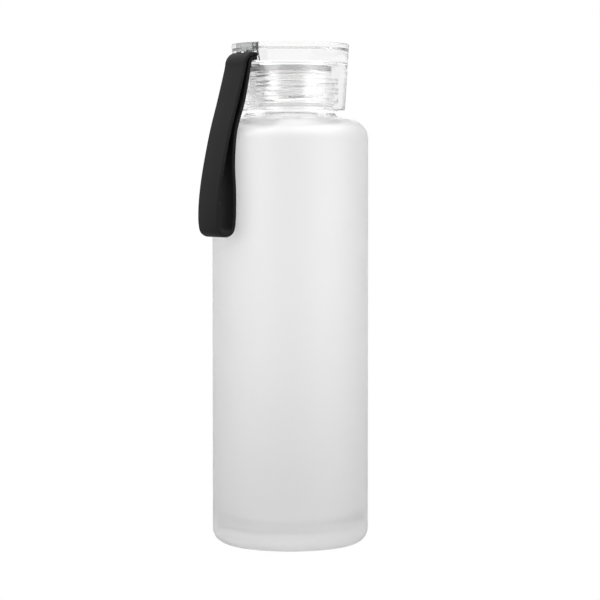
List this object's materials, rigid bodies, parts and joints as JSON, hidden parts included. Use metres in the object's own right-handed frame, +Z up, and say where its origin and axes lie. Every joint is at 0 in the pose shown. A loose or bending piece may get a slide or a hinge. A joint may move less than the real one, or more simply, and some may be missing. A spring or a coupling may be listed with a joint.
{
  "type": "glass water bottle",
  "caption": "Frosted glass water bottle with a clear screw cap, a seal ring inside it and a soft carry strap trapped in the cap's rim.",
  "frame": {"origin": "centre of the foot, on the bottle's axis and on the plane it stands on", "axes": "+Z up the bottle's axis towards the cap; -X towards the side that the strap hangs on"},
  "size_m": [0.0776, 0.066, 0.2112],
  "materials": {
    "frosted_glass": "acid-frosted outside on the body, clear on the neck",
    "clear_plastic": "clear, polished",
    "keeper_plastic": "clear with a trace of grey, polished",
    "seal_silicone": "translucent satin",
    "strap_silicone": "black satin"
  },
  "bodies": {
    "bottle": {"glass_bottle": "frosted_glass"},
    "seal": {"seal_ring": "seal_silicone"},
    "cap": {"cap_insert": "clear_plastic", "cap_shell": "clear_plastic", "strap_keeper": "keeper_plastic", "strap_ends": "strap_silicone"},
    "strap": {"strap_bend": "strap_silicone", "strap_loop": "strap_silicone"}
  },
  "joints": [
    {"name": "cap_lift", "type": "slide", "parent": "bottle", "child": "seal", "axis": [0, 0, 1], "range_m": [0, 0.0173]},
    {"name": "cap_turn", "type": "hinge", "parent": "seal", "child": "cap", "pos_m": [0, 0, 0.19], "axis": [0, 0, 1], "range_deg": [0, 1530]},
    {"name": "strap_swing", "type": "hinge", "parent": "cap", "child": "strap", "pos_m": [-0.0278, 0, 0.2049], "axis": [0, 1, 0], "range_deg": [0, 150], "deforming": ["strap_bend"]}
  ],
  "couplings": [
    {"joint": "cap_lift", "follows": "cap_turn", "m_per_rad": 0.00064299}
  ]
}
